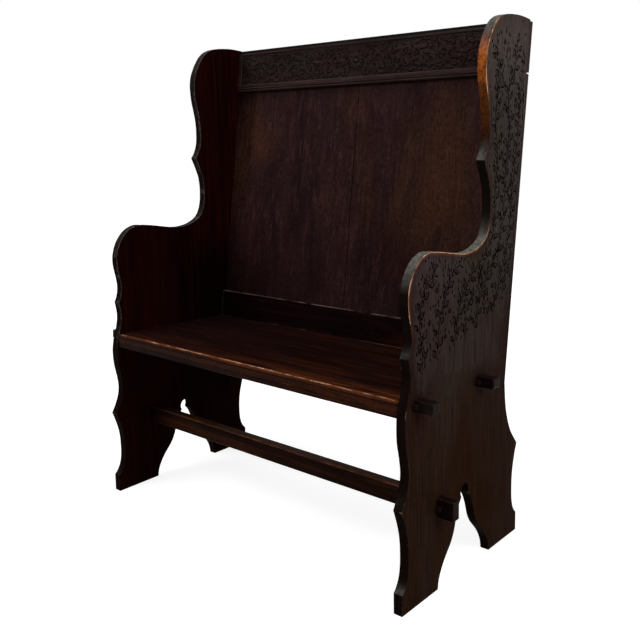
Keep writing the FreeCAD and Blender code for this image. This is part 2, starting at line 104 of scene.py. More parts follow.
# Noise of the oak: scale along and across the grain, detail, roughness and distortion
FIGURE = {
    "broad": (0.9, 9.0, 2.0, 0.5, 0.5),
    "streak": (2.2, 105.0, 4.0, 0.6, 0.2),
    "fine": (9.0, 620.0, 2.0, 0.5, 0.0),
    "pores": (30.0, 1150.0, 2.0, 0.55, 0.0),
    "rays": (190.0, 28.0, 2.0, 0.5, 0.3),
    "patch": (4.2, 4.2, 4.0, 0.6, 0.0),
    "spots": (22.0, 90.0, 5.0, 0.7, 0.0),
}
MOTTLE_SCALE = (210.0, 210.0, 150.0)
MOTTLE = (3.0, 0.65)
DRIFT = (4.0, 0.6, 0.6)
DRIFT_STEP = 2.9

# Where a noise starts to count and where it counts in full, and what it gives at both ends
BROAD_BANDS = (0.32, 0.70)
PALE_STREAKS = (0.44, 0.74, 0.0, 0.70)
DARK_PATCHES = (0.35, 0.72, 0.0, 0.45)
DRIFT_EDGE = (0.40, 0.66, 0.0)
FINE_LIGHTNESS = (0.33, 0.67, 0.55, 1.36)
RAY_LIGHTNESS = (0.35, 0.68, 0.93, 1.08)
PORE_EDGE = (0.58, 0.70)
RUB_SPOTS = (0.28, 0.60, 0.45, 1.0)
RUB_MOTTLE = (0.36, 0.56, 0.35, 1.0)
BARE_MOTTLE = (0.36, 0.54, 0.55, 1.0)
DUST_AND_SHEEN_SPOTS = (0.30, 0.62, 0.35, 1.0)
GLOSS_PATCHES = (0.30, 0.70)

# Softened arrises
ARRIS_STEPS = 3
SMALL_RIM = 0.25
JOINT_HALF = 0.0012
JOINT_PLANE = 0.473
JOINT_NEAR = 2e-4
NOSE_STATIONS = (-0.2462, -0.2400, -0.2280)
WEAR_STATIONS = (-0.46, -0.30, -0.12, 0.06, 0.24, 0.40, 0.46)
ARRIS_ROOM = 2.0
SHARP_ANGLE = math.radians(28)
FLAT_ANGLE = math.radians(0.4)
SMOOTH_ANGLE = math.radians(32)
MERGE_DISTANCE = 1e-5
KEY_SPOTS = ("seat_front", "seat_rear", "stretcher")
ARRIS_WIDTHS = {
    "side_left": 0.00105,
    "side_right": 0.00105,
    "seat_board": 0.0009,
    "seat_front_rail": 0.0009,
    "stretcher": 0.0009,
    "top_rail": 0.0007,
    "lower_back_rail": 0.0011,
    "back_board_left": 0.0015,
    "back_board_right": 0.0015,
    **{f"key_{spot}_{hand}": 0.0009 for spot in KEY_SPOTS for hand in ("left", "right")},
}

# Wear, dust and painted sheen. A span is an axis, where its effect starts and where it is full.
EDGE_NORMAL_X = 0.8
ARRIS_FOOT_WEAR = 0.45
LEFT_HANDLED = 0.45
LEFT_EDGE_SHEEN = 0.15
EDGE_SHEEN = 0.85
CUT_LIP_SHEEN = 0.30
SHEEN_START = 0.05
SHEEN_START_BELOW = 0.33
SHEEN_FULL = 0.92
BELOW_ARM = (0.58, 0.46)
INNER_LEFT_PALE_LINE = (("x", -0.4745, -0.4735), ("x", 0.1, -0.1), ("z", 0.30, 0.58))
INNER_LEFT_WEAR = (("x", 0.1, -0.1), ("z", 0.50, 0.58))
ARM_ROLL = (("z", 0.55, 0.64), ("z", 0.80, 0.77), ("y", 0.16, 0.10))
WING_EAR = (("z", 1.03, 1.09), ("z", 1.250, 1.235), ("y", 0.16, 0.13))
OUTER_ARRIS = (0.486, 0.493)
FRONT_EDGE_Y = 0.20
PLAIN_WEAR = 0.16
LEAST_EDGE_WEAR = 0.2
INNER_LEFT_SHARES = (0.58, 0.55)
RIM_BARE = (0.0016, 0.0)
RIM_GLOW = (0.0060, 0.0005)

# Carving on the outer faces of the sides, as (y, z) places on the plank
SIDE_SEED = 11
FRIEZE_SEED = 5
SPRIG_STEP = 7
SCATTER_TRIES = 1100
SCATTER_Y = (-0.22, 0.24)
SCATTER_Z = (0.49, 1.215)
SCATTER_LENGTHS = (0.007, 0.013)
LEAFLESS_BELOW = 0.552
LEAFLESS_RISE = 0.28
LEAF_LENGTHS = (0.015, 0.021)
LEAF_WIDTHS = (0.27, 0.33)
END_LEAF_LENGTH = 0.020
STALK_TURNS = (0.5, 0.9)
STALK_LENGTHS = (0.008, 0.015)
BUD_RADII = (0.0042, 0.0056)
CHIP_TURNS = (0.2, 0.6)
CHIP_LENGTHS = (0.008, 0.013)
CHIP_WIDTHS = (1.1, 1.6)
CHIP_ROOM = 0.0025
CHIP_OWN_ROOM = 0.0032
CHIP_OFFSET = 0.0045
CUT_HALF = 0.0017
CUT_DEPTH = 0.0017
# Painted shade: how dark a side's cut gets for its depth
CUT_SHADE_SPREAD = 2.2
CARVING_MARGIN = 0.011
CARVING_GAP = 0.00045
CARVING_GUARD = 0.0007
RIM_ROOM = 0.0006
NEAR_RIM = 0.004
COARSE_FIT = 0.0006
COARSE_LENGTH = 0.06
POINTS_AT_ONCE = 1500
OUTWARD_COSINE = 0.99
FLAT_COSINE = 0.99999
FLAT_LEVEL = 2e-5
RIM_KEY = 1e5
SAME_PLACE = 1e-7
SIDE_RINGS = ((0.0022, 0.004), (0.0075, 0.006))
LEAF_TIP_HALF = 0.0004
LEAF_RIB_SHARE = 0.30
LEAF_RIB_DEPTH = 0.55
LEAF_FULLNESS = 0.85
STEMS = (
    ((-0.078, 0.470), (-0.068, 0.560), (-0.048, 0.625), (-0.010, 0.672), (0.048, 0.712), (0.092, 0.765),
     (0.098, 0.850), (0.108, 0.945), (0.096, 1.030), (0.118, 1.105), (0.100, 1.160)),
    ((0.012, 0.470), (0.018, 0.585), (0.060, 0.660), (0.112, 0.720), (0.140, 0.810), (0.146, 0.900),
     (0.163, 0.990), (0.156, 1.080), (0.186, 1.135), (0.200, 1.195)),
    ((0.088, 0.480), (0.096, 0.590), (0.132, 0.665), (0.162, 0.740), (0.176, 0.830), (0.192, 0.920),
     (0.206, 1.010), (0.216, 1.080), (0.226, 1.150)),
    ((-0.196, 0.470), (-0.198, 0.545), (-0.206, 0.610), (-0.190, 0.672), (-0.150, 0.700)),
    ((-0.140, 0.500), (-0.134, 0.585), (-0.112, 0.640), (-0.084, 0.690), (-0.050, 0.706)),
    ((-0.034, 0.480), (-0.028, 0.560), (-0.020, 0.610), (0.020, 0.640), (0.044, 0.690)),
    ((0.052, 0.480), (0.058, 0.560), (0.052, 0.620)),
    ((0.128, 0.560), (0.142, 0.640), (0.168, 0.690)),
)
BUDS = (
    (0.138, 1.190), (0.164, 1.000), (0.170, 0.868), (0.146, 0.800), (0.116, 0.720), (0.094, 0.704),
    (-0.032, 0.612), (-0.092, 0.612), (-0.206, 0.548), (-0.142, 0.664), (0.052, 0.676), (0.192, 1.062),
    (0.100, 1.068), (-0.170, 0.600), (-0.186, 0.690), (-0.110, 0.560), (0.020, 0.560), (0.090, 0.640),
)

# Carving in the sunk field of the frieze rail
FRIEZE_TILT = 0.14
FRIEZE_TRIES = 900
RELIEF_HEIGHT = 0.0022
RELIEF_GRID = 0.0017
RELIEF_MARGIN = 0.0025
RELIEF_STEM_HALF = 0.0023
FRIEZE_CENTRE = -0.010
# Painted shade on the frieze: a little over its ground, most in the corners round its forms
GROUND_SHADE = 0.38
HALO_SHADE = 0.95
HALO_WIDTH = 0.0016
ROSETTE_PETALS = 12
ROSETTE_REACH = 0.028
ROSETTE_BOSS = ((-0.001, 0.0062), (0.0, 0.0064), (0.001, 0.0062))
STEM_START = (0.026, 0.004)
SCROLL_PITCH = 0.106
SCROLL_SPREAD = 0.98
FIRST_SCROLL = 0.062
SCROLL_STEPS = 25
SCROLL_TURN = 1.12
SCROLL_OUTER = 0.029
SCROLL_INNER = 0.006


class Shade:
    """The node tree of a material or a world, with one short call for each kind of node."""

    def __init__(self, owner, shader="Principled BSDF"):
        owner.use_nodes = True
        self.owner = owner
        self.tree = owner.node_tree
        self.shader = self.tree.nodes[shader]

    def feed(self, made, inputs):
        """Gives a node's inputs another node's output or a plain value."""
        for key, value in inputs.items():
            if isinstance(value, bpy.types.NodeSocket):
                self.tree.links.new(value, made.inputs[key])
            else:
                made.inputs[key].default_value = value

    def node(self, kind, inputs=None, **settings):
        made = self.tree.nodes.new(kind)
        for key, value in settings.items():
            setattr(made, key, value)
        self.feed(made, inputs or {})
        return made

    def surface(self, inputs):
        self.feed(self.shader, inputs)

    def place(self, scale=(1.0, 1.0, 1.0), shift=(0, 0, 0)):
        """Object coordinates, stretched by scale."""
        coordinates = self.node("ShaderNodeTexCoord").outputs["Object"]
        inputs = {"Vector": coordinates, "Scale": scale, "Location": shift}
        return self.node("ShaderNodeMapping", inputs).outputs["Vector"]

    def noise(self, scale, shift, detail, roughness, distortion=0.0):
        """Noise in object coordinates, stretched by scale."""
        inputs = {"Vector": self.place(scale, shift), "Scale": 1.0, "Detail": detail}
        inputs.update({"Roughness": roughness, "Distortion": distortion})
        return self.node("ShaderNodeTexNoise", inputs).outputs["Fac"]

    def span(self, value, low, high, to_low=0.0, to_high=1.0):
        """value moved from low..high to to_low..to_high, and held there."""
        inputs = {"Value": value, "From Min": low, "From Max": high, "To Min": to_low, "To Max": to_high}
        return self.node("ShaderNodeMapRange", inputs, interpolation_type="SMOOTHSTEP").outputs["Result"]

    def math(self, operation, first, second=0.0, clamp=False):
        inputs = {0: first, 1: second}
        return self.node("ShaderNodeMath", inputs, operation=operation, use_clamp=clamp).outputs[0]

    def times(self, first, *others):
        for other in others:
            first = self.math("MULTIPLY", first, other)
        return first

    def mix(self, factor, first, second, blend="MIX"):
        inputs = {"Factor": factor, "A": first, "B": second}
        return self.node("ShaderNodeMix", inputs, data_type="RGBA", blend_type=blend).outputs["Result"]

    def lighten(self, colour, value):
        """The colour with its three channels multiplied by a number."""
        inputs = dict.fromkeys(("Red", "Green", "Blue"), value)
        grey = self.node("ShaderNodeCombineColor", inputs).outputs["Color"]
        return self.mix(1.0, colour, grey, "MULTIPLY")

    def attribute(self, name):
        return self.node("ShaderNodeAttribute", attribute_name=name).outputs["Fac"]

    def bump(self, height, strength, distance, below=None):
        inputs = {"Height": height, "Strength": strength, "Distance": distance}
        if below is not None:
            inputs["Normal"] = below
        return self.node("ShaderNodeBump", inputs).outputs["Normal"]

    def seen(self):
        """1 where a ray comes from the camera, a reflection or clear matter, and 0 for the light itself."""
        path = self.node("ShaderNodeLightPath").outputs
        either = self.math("MAXIMUM", path["Is Camera Ray"], path["Is Glossy Ray"])
        return self.math("MAXIMUM", either, path["Is Transmission Ray"])


def linear(red, green, blue):
    """A colour given as 0..255 screen values."""

    def channel(value):
        part = value / 255
        return part / 12.92 if part <= 0.04045 else ((part + 0.055) / 1.055) ** 2.4

    return (channel(red), channel(green), channel(blue), 1.0)


def along(axis, grain, across):
    """A scale that is slow along one axis and fast across the other two."""
    scale = [across, across, across]
    scale["XYZ".index(axis)] = grain
    return tuple(scale)


def wood_tone(shade, tones, figure):
    """The stain: two tones in broad bands, a paler one in narrow streaks, darker again in soft patches."""
    deep, middle, pale = (linear(*tone) for tone in tones)
    body = shade.mix(shade.span(figure["broad"], *BROAD_BANDS), deep, middle)
    body = shade.mix(shade.span(figure["streak"], *PALE_STREAKS), body, pale)
    return shade.mix(shade.span(figure["patch"], *DARK_PATCHES), body, deep)


def oak(name, axis, tones, worn, warm_rub, gloss, ior, shift, tints=(), inner=None, sawn=None):
    """Dark stained oak with its grain along one axis.

    worn is the colour of bare wood on the arrises and warm_rub that of stain rubbed thin. A tint is a
    colour, its share, how many patches it has along and across the grain, and the spans of X, Y or Z over
    which it comes in. inner is the set of tones on a side's inner face, a darker copy of the side's oak
    that paints the shade there, and sawn the colour of its edges.
    """
    shade = Shade(bpy.data.materials.new(name))
    span, times, mix = shade.span, shade.times, shade.mix
    offset = (shift, shift * 0.7, shift * 1.3)
    figure = {}
    for kind, (slow, fast, *settings) in FIGURE.items():
        figure[kind] = shade.noise(along(axis, slow, fast), offset, *settings)
    mottle = shade.noise(MOTTLE_SCALE, offset, *MOTTLE)
    place = shade.node("ShaderNodeSeparateXYZ", {0: shade.place()})
    measures = {letter: place.outputs[letter] for letter in "XYZ"}
    measures["from middle"] = shade.math("ABSOLUTE", place.outputs["X"])

    def inside(share, spans):
        """The share, held to the spans of the measures."""
        for measure, low, high in spans:
            share = times(share, span(measures[measure], low, high))
        return share

    body = wood_tone(shade, tones, figure)
    for index, (colour, mask, patches, spans) in enumerate(tints):
        if patches:
            moved = tuple(part + index * DRIFT_STEP for part in offset)
            drift = shade.noise(along(axis, *patches), moved, *DRIFT)
            mask = span(drift, *DRIFT_EDGE, mask)
        body = mix(inside(mask, spans), body, linear(*colour))
    # Painted shade: a side's inner face takes darker tones of its own, a shaded copy of the side's oak
    if inner is not None:
        shaded_inner_body = wood_tone(shade, inner, figure)
        # Painted shade deepening the inner face's rear corner
        corner = times(inside(1.0, CORNER_SHADE_SPANS), CORNER_SHADE_SHARE)
        shaded_inner_body = mix(corner, shaded_inner_body, CORNER_SHADE_BLACK)
        is_outer = span(measures["from middle"], INNER_FACE, INNER_FACE + INNER_BLEND)
        body = mix(is_outer, shaded_inner_body, body)
    if sawn is not None:
        body = mix(times(shade.attribute("sawn"), SAWN_SHARE), body, linear(*sawn))

    body = shade.lighten(body, span(figure["fine"], *FINE_LIGHTNESS))
    body = shade.lighten(body, span(figure["rays"], *RAY_LIGHTNESS))
    pore_mask = span(figure["pores"], *PORE_EDGE)
    body = mix(times(pore_mask, PORE_SHARE), body, PORE_BLACK)

    spots = figure["spots"]
    rubbed = times(shade.attribute("rub"), span(spots, *RUB_SPOTS), span(mottle, *RUB_MOTTLE))
    body = mix(rubbed, body, linear(*warm_rub))
    wear = shade.attribute("wear")
    threshold = shade.math("SUBTRACT", BARE_START, times(wear, BARE_BY_WEAR))
    bare = shade.math("SUBTRACT", spots, threshold)
    bare = shade.math("MULTIPLY", bare, BARE_CONTRAST, clamp=True)
    bare = times(bare, wear, span(mottle, *BARE_MOTTLE))
    body = mix(bare, body, linear(*worn))
    # Pale grey: partly dust, partly painted sheen and highlights
    dust_and_sheen_mask = times(shade.attribute("dust_and_sheen"), span(spots, *DUST_AND_SHEEN_SPOTS))
    body = mix(dust_and_sheen_mask, body, DUST_AND_SHEEN_GREY)
    # Painted shade in the carved cuts and relief, and dirt in the back boards' joint
    cut = shade.attribute("cut")
    body = mix(shade.math("MULTIPLY", cut, CUT_SHADE_AND_DIRT_SHARE, clamp=True), body, PORE_BLACK)

    roughness = span(figure["patch"], *GLOSS_PATCHES, gloss - GLOSS_BELOW, gloss + GLOSS_ABOVE)
    roughness = shade.math("ADD", roughness, times(pore_mask, PORE_ROUGHNESS))
    roughness = shade.math("ADD", roughness, times(cut, CUT_ROUGHNESS), clamp=True)
    relief = shade.math("SUBTRACT", times(figure["fine"], FINE_RELIEF), pore_mask)
    normal = shade.bump(relief, *FINE_BUMP, shade.bump(figure["streak"], *STREAK_BUMP))
    shade.surface({"Base Color": body, "Roughness": roughness, "IOR": ior, "Normal": normal})
    return shade.owner


def steel(name):
    """Dulled steel of the screws and cut nails."""
    shade = Shade(bpy.data.materials.new(name))
    grime = shade.noise((260.0, 260.0, 260.0), (0, 0, 0), 4.0, 0.6)
    colour = shade.mix(shade.span(grime, 0.35, 0.65), linear(92, 84, 76), linear(52, 38, 30))
    roughness = shade.span(grime, 0.30, 0.70, 0.38, 0.70)
    normal = shade.bump(grime, 0.3, 0.0002)
    shade.surface({"Base Color": colour, "Roughness": roughness, "Metallic": 0.85, "Normal": normal})
    return shade.owner


def frame_copy(node):
    """A bmesh of a frame node, welded and with its flat faces joined."""
    made = bmesh.new()
    made.from_mesh(node.data)
    bmesh.ops.remove_doubles(made, verts=made.verts, dist=MERGE_DISTANCE)
    bmesh.ops.dissolve_limit(made, angle_limit=FLAT_ANGLE, verts=made.verts, edges=made.edges)
    made.normal_update()
    return made


def divide(made, places, axis):
    """Cuts a piece's faces across at the given places along an axis, so that wear can change along it."""
    for place in places:
        geometry = [*made.verts, *made.edges, *made.faces]
        bmesh.ops.bisect_plane(made, geom=geometry, plane_co=axis * place, plane_no=axis)


def joined_groups(edges):
    """The edges in groups that hang together."""
    left = set(edges)
    groups = []
    while left:
        group = [left.pop()]
        for edge in group:
            for vert in edge.verts:
                following = [other for other in vert.link_edges if other in left]
                left.difference_update(following)
                group.extend(following)
        groups.append(group)
    return groups


def has_room(edge, width):
    """Whether both faces beside the edge are wide enough to be rounded."""
    length = edge.calc_length()
    return all(face.calc_area() / length > ARRIS_ROOM * width for face in edge.link_faces)


def against_side(edge):
    """Whether the edge lies in the joint at a side's inner face."""
    return all(abs(abs(vert.co.x) - JOINT_PLANE) < JOINT_NEAR for vert in edge.verts)


def soften(made, width, is_side):
    """Rounds the long arrises of a bmesh, and gives back the rounded faces. Rims of small holes stay."""
    arrises = [
        edge
        for edge in made.edges
        if len(edge.link_faces) == 2 and edge.calc_face_angle(0.0) > SHARP_ANGLE and edge.is_convex
    ]
    chosen = []
    for group in joined_groups(arrises):
        if sum(edge.calc_length() for edge in group) > SMALL_RIM:
            chosen.extend(edge for edge in group if has_room(edge, width))
    if not is_side:
        chosen = [edge for edge in chosen if not against_side(edge)]
    result = bmesh.ops.bevel(
        made, geom=chosen, offset=width, offset_type="OFFSET", segments=ARRIS_STEPS, profile=0.5,
        affect="EDGES", clamp_overlap=False, loop_slide=True,
    )
    return set(result["faces"])


def is_edge(normal):
    """Whether a side's face is one of its sawn edges."""
    return abs(normal.x) < EDGE_NORMAL_X


def rub_down(made, rounded, rule, is_side, arris_dust_and_sheen):
    """Writes how far each face corner is worn through and rubbed warm, and marks the sides' sawn edges."""
    layers = made.loops.layers.float
    wear, rub, sawn, dust_and_sheen = (layers.new(name) for name in ("wear", "rub", "sawn", "dust_and_sheen"))
    for face in made.faces:
        arris = face in rounded
        is_sawn = is_side and is_edge(face.normal)
        for corner in face.loops:
            vert = corner.vert
            crest = arris and all(other in rounded for other in vert.link_faces)
            worn, rubbed = rule(vert.co, face.normal, arris)
            corner[wear] = worn if crest or not arris else worn * ARRIS_FOOT_WEAR
            corner[rub] = rubbed
            corner[sawn] = 1.0 if is_sawn else 0.0
            # Pale grey: painted sheen on the sides' sawn edges, and dust with painted sheen on some arrises
            corner[dust_and_sheen] = edge_sheen_and_pale_line(vert) if is_sawn else arris_dust_and_sheen * arris


def edge_sheen_and_pale_line(vert):
    """Painted sheen on a sawn edge that looks upward, less low down and on the left, and a pale left inner
    line.
    """
    beside = [face.normal for face in vert.link_faces if is_edge(face.normal)]
    rise = sum(normal.z for normal in beside) / len(beside)
    side_sheen = 1.0 if vert.co.x > 0 else LEFT_EDGE_SHEEN
    start = SHEEN_START + SHEEN_START_BELOW * fade(vert.co.z, *BELOW_ARM)
    upward = EDGE_SHEEN * side_sheen * fade(rise, start, SHEEN_FULL)
    return max(upward, within(vert.co, INNER_LEFT_PALE_LINE, INNER_LEFT_SHARES[0]))


def fade(value, low, high):
    """0 below low, 1 above high and smooth between; the other way round where low is the larger."""
    share = min(max((value - low) / (high - low), 0.0), 1.0)
    return share * share * (3 - 2 * share)


def within(place, spans, share=1.0):
    """The share, held to the spans of X, Y or Z."""
    for axis, low, high in spans:
        share *= fade(getattr(place, axis), low, high)
    return share


def handled(place):
    """Where hands and clothes pass a side's front arrises: 1 on the arm's roll and on the wing's ear."""
    return max(within(place, ARM_ROLL), within(place, WING_EAR)) * (1.0 if place.x > 0 else LEFT_HANDLED)


def side_wear(place, normal, arris):
    """The arm's and the wing's outer arrises are bare, and the right wing's front edge is rubbed orange."""
    outer = fade(abs(place.x), *OUTER_ARRIS)
    forward = 1.0 if is_edge(normal) and place.y < FRONT_EDGE_Y and place.x > 0 else 0.0
    patch = 0.65 * fade(place.z, 1.096, 1.101) + 0.35 * fade(place.z, 0.93, 1.09)
    patch *= forward * fade(place.z, 1.222, 1.160)
    if arris:
        strong = handled(place)
        inner_left = within(place, INNER_LEFT_WEAR, INNER_LEFT_SHARES[1] * (1.0 - outer))
        low_edge = 0.34 * fade(place.z, 0.62, 0.50)
        crests = (outer * strong, 0.95 * patch, 0.25 * strong, inner_left, low_edge)
        return max(*crests, LEAST_EDGE_WEAR), patch
    return 0.0, patch


def seat_wear_and_highlight(place, normal, arris):
    """The nose is rubbed pale along its crown, most right of the middle; the pale crown is also painted
    highlight.
    """
    nose = fade(place.y, -0.240, -0.2462) * fade(abs(place.x), 0.4735, 0.462)
    left = fade(place.x, 0.10, -0.30)
    crown = fade(place.z, 0.4476 - 0.0010 * left, 0.4494 - 0.0006 * left) * fade(place.y, -0.2458, -0.2478)
    right = 0.62 + 0.10 * fade(place.x, -0.34, 0.20)
    if arris:
        return 0.12 + 0.25 * nose, 0.7 * nose * right
    return nose * crown * (0.25 + right) * 0.52, nose * right * (0.2 + 0.8 * crown)


def plain_wear(worn, rubbed=0.0):
    """The same wear on every arris of a small piece."""

    def rule(place, normal, arris):
        return (worn, rubbed) if arris else (0.0, 0.0)

    return rule


def stretcher_wear(place, normal, arris):
    """Boots have rubbed the top of the stretcher between the sides."""
    between = fade(abs(place.x), 0.47, 0.42)
    top = fade(place.z, 0.180, 0.206)
    if arris:
        return 0.14 + 0.36 * between * top, 0.5 * between * top
    return (0.12 * between, 0.35 * between) if normal.z > 0.7 else (0.0, 0.0)


def darken_joint(made):
    """Dirt in the joint between the two back boards."""
    cut = made.verts.layers.float["cut"]
    for vert in made.verts:
        if abs(vert.co.x) < JOINT_HALF:
            vert[cut] = 1.0


def add_object(name, data):
    made = bpy.data.objects.new(name, data)
    bpy.context.scene.collection.objects.link(made)
    return made


def finish_mesh(made, name, material):
    """Turns a bmesh into an object of the scene with smooth curves and crisp edges."""
    mesh = bpy.data.meshes.new(name)
    made.to_mesh(mesh)
    made.free()
    if "custom_normal" in mesh.attributes:
        mesh.attributes.remove(mesh.attributes["custom_normal"])
    mesh.shade_smooth()
    mesh.set_sharp_from_angle(angle=SMOOTH_ANGLE)
    mesh.materials.append(material)
    piece = add_object(name, mesh)
    piece.modifiers.new("even_shading", "WEIGHTED_NORMAL").keep_sharp = True
    return piece


# Pale grey on the arrises of these pieces: dust, and painted sheen
ARRIS_DUST_AND_SHEEN = {"top_rail": 0.25, "stretcher": 0.2}
OWN_FINISHES = {"stretcher": "stretcher_oak", "lower_back_rail": "skirting_oak"}
WEAR_RULES = {
    "side_left": side_wear,
    "side_right": side_wear,
    "seat_board": seat_wear_and_highlight,
    "seat_front_rail": plain_wear(0.50, 0.6),
    "stretcher": stretcher_wear,
    "lower_back_rail": plain_wear(0.30),
    "top_rail": plain_wear(0.22, 0.1),
}


class Stroke:
    """One cut or one raised form: a line of samples (u, v, half width) with a height.

    Its profile runs from 1 on the middle line to 0 at the half width.
    """

    def __init__(self, samples, height, form="round"):
        self.samples = np.array(samples, dtype=float)
        self.height = height
        self.form = form

    def profile(self, ratio):
        if self.form == "valley":
            return np.clip(1.0 - ratio, 0.0, 1.0)
        dome = np.sqrt(np.clip(1.0 - ratio**2, 0.0, 1.0))
        if self.form == "leaf":
            rib = np.clip(ratio / LEAF_RIB_SHARE, 0.0, 1.0)
            return dome * (1.0 - LEAF_RIB_DEPTH * (1.0 - rib))
        return dome

    def heights(self, points):
        """The stroke's height at each row of points, and how near the row is to the stroke's rim."""
        result = np.zeros(len(points))
        halo = np.zeros(len(points))
        reach = self.samples[:, 2].max() + HALO_WIDTH
        low = self.samples[:, :2].min(axis=0) - reach
        high = self.samples[:, :2].max(axis=0) + reach
        near = np.nonzero(np.all((points >= low) & (points <= high), axis=1))[0]
        if not len(near):
            return result, halo
        chosen = points[near]
        ratio = np.full(len(near), np.inf)
        beyond = np.full(len(near), np.inf)
        for start, end in zip(self.samples[:-1], self.samples[1:]):
            run = end[:2] - start[:2]
            length = max(float(run @ run), 1e-12)
            share = np.clip(((chosen - start[:2]) @ run) / length, 0.0, 1.0)
            foot = start[:2] + share[:, None] * run
            distance = np.linalg.norm(chosen - foot, axis=1)
            half = start[2] + share * (end[2] - start[2])
            ratio = np.minimum(ratio, distance / np.maximum(half, 1e-6))
            beyond = np.minimum(beyond, distance - half)
        shape = self.profile(ratio)
        result[near] = self.height * shape
        halo[near] = np.clip(1.0 - np.maximum(beyond, 0.0) / HALO_WIDTH, 0.0, 1.0) * (1.0 - shape)
        return result, halo

    def rows(self, guard):
        """Points on the stroke's middle, flanks and rims, and on a ring just outside it."""
        middle = self.samples[:, :2]
        half = self.samples[:, 2:3]
        run, side = run_and_side(middle)
        found = [middle]
        for share in (-1.0, -0.5, 0.5, 1.0):
            found.append(middle + side * half * share)
        for sign in (-1.0, 1.0):
            found.append(middle + side * (half + guard) * sign)
        for end, sign in ((0, -1.0), (-1, 1.0)):
            cap = middle[end] + run[end] * (half[end] + guard) * sign
            found.append(cap + side[end] * half[end] * np.array([[-0.7], [0.0], [0.7]]))
        return np.concatenate(found)


def incision(line, widths, depth=1.0):
    """A cut along a line of points, with its half width at each."""
    return Stroke(np.column_stack([line, widths]), CUT_DEPTH * depth, "valley")


def run_and_side(line):
    """Unit vectors along a line of points and across it."""
    run = np.gradient(line, axis=0)
    run /= np.maximum(np.linalg.norm(run, axis=1, keepdims=True), 1e-9)
    return run, np.stack([-run[:, 1], run[:, 0]], axis=1)


def direction(run):
    return math.atan2(run[1], run[0])


def ahead(point, angle, length):
    return (point[0] + math.cos(angle) * length, point[1] + math.sin(angle) * length)


def is_free(point, radius, taken):
    """Whether a round spot keeps clear of those already taken."""
    return all(math.dist(point, other) > radius + size for other, size in taken)


def smooth_line(corners, step):
    """Evenly spaced points on a smooth curve through the corners."""
    given = [np.array(corner, dtype=float) for corner in corners]
    padded = [2 * given[0] - given[1]] + given + [2 * given[-1] - given[-2]]
    found = []
    for before, start, end, after in zip(padded, padded[1:], padded[2:], padded[3:]):
        count = max(2, int(np.linalg.norm(end - start) / step))
        bend = 2 * before - 5 * start + 4 * end - after
        twist = 3 * start - before - 3 * end + after
        for index in range(count):
            t = index / count
            found.append(0.5 * (2 * start + (end - before) * t + bend * t**2 + twist * t**3))
    found.append(given[-1])
    return np.array(found)


def leaf_line(base, angle, length, bend, count=8):
    """A leaf's middle line, from its base, turning by bend over its length."""
    found = [np.array(base, dtype=float)]
    for index in range(count - 1):
        heading = angle + bend * (index / (count - 1) - 0.5)
        step = np.array([math.cos(heading), math.sin(heading)]) * length / (count - 1)
        found.append(found[-1] + step)
    return np.array(found)


def leaf_swell(count):
    """A leaf's width at even steps from its base to its tip, as a share of its largest."""
    return np.sin(np.pi * np.linspace(0.0, 1.0, count) ** LEAF_FULLNESS)


def leaf(base, angle, length, half, bend, height, form):
    line = leaf_line(base, angle, length, bend)
    widths = half * leaf_swell(len(line)) + LEAF_TIP_HALF
    return Stroke(np.column_stack([line, widths]), height, form)


def drawn_leaf(base, angle, length, half, bend):
    """A leaf cut as its two edges and its rib."""
    line = leaf_line(base, angle, length, bend, 9)
    swell = run_and_side(line)[1] * (half * leaf_swell(len(line)))[:, None]
    thin = np.full(len(line), CUT_HALF)
    heavy = thin * (1.0 + 0.5 * np.sin(np.pi * np.linspace(0.0, 1.0, len(line))))
    return [
        incision(line + swell, thin * 0.85, 0.9),
        incision(line - swell, heavy),
        incision(line[:6], thin[:6] * 0.7, 0.7),
    ]


def bud(centre, radius):
    """A round bud: a cut ring with one chip inside."""
    ring = [(*ahead(centre, index * math.tau / 8, radius), CUT_HALF) for index in range(9)]
    low = (centre[0], centre[1] - radius * 0.5)
    chip = leaf(low, math.pi / 2, radius, radius * 0.4, 0.0, CUT_DEPTH, "valley")
    return [Stroke(ring, CUT_DEPTH, "valley"), chip]


def simpler(loop):
    """The loop without the points that lie nearly on a line between their neighbours."""
    kept = [loop[0]]
    for point, following in zip(loop[1:], list(loop[2:]) + [loop[0]]):
        run = following - kept[-1]
        length = float(np.linalg.norm(run))
        offset = point - kept[-1]
        away = abs(run[0] * offset[1] - run[1] * offset[0]) / max(length, 1e-9)
        if away > COARSE_FIT or length > COARSE_LENGTH:
            kept.append(point)
    return np.array(kept)


def outline_parts(loops):
    """The edges of closed loops, as their starts, runs, squared lengths and end heights."""
    start = np.concatenate(loops)
    end = np.concatenate([np.roll(loop, -1, axis=0) for loop in loops])
    run = end - start
    return start, run, np.maximum((run**2).sum(axis=1), 1e-12), end[:, 1]


def room_to(parts, points):
    """Distances from points to the edges, negative for points outside the loops."""
    start, run, length, end_v = parts
    rise = np.where(np.abs(run[:, 1]) < 1e-12, 1e-12, run[:, 1])
    found = []
    for block in np.array_split(points, max(1, len(points) // POINTS_AT_ONCE)):
        offset_u = block[:, 0:1] - start[:, 0]
        offset_v = block[:, 1:2] - start[:, 1]
        share = np.clip((offset_u * run[:, 0] + offset_v * run[:, 1]) / length, 0.0, 1.0)
        across_u = offset_u - share * run[:, 0]
        across_v = offset_v - share * run[:, 1]
        distance = np.sqrt((across_u**2 + across_v**2).min(axis=1))
        level = block[:, 1:2]
        crossing = (start[:, 1] > level) != (end_v > level)
        at = start[:, 0] + (level - start[:, 1]) / rise * run[:, 0]
        hits = np.count_nonzero(crossing & (at > block[:, 0:1]), axis=1)
        found.append(np.where(hits % 2 == 1, distance, -distance))
    return np.concatenate(found)


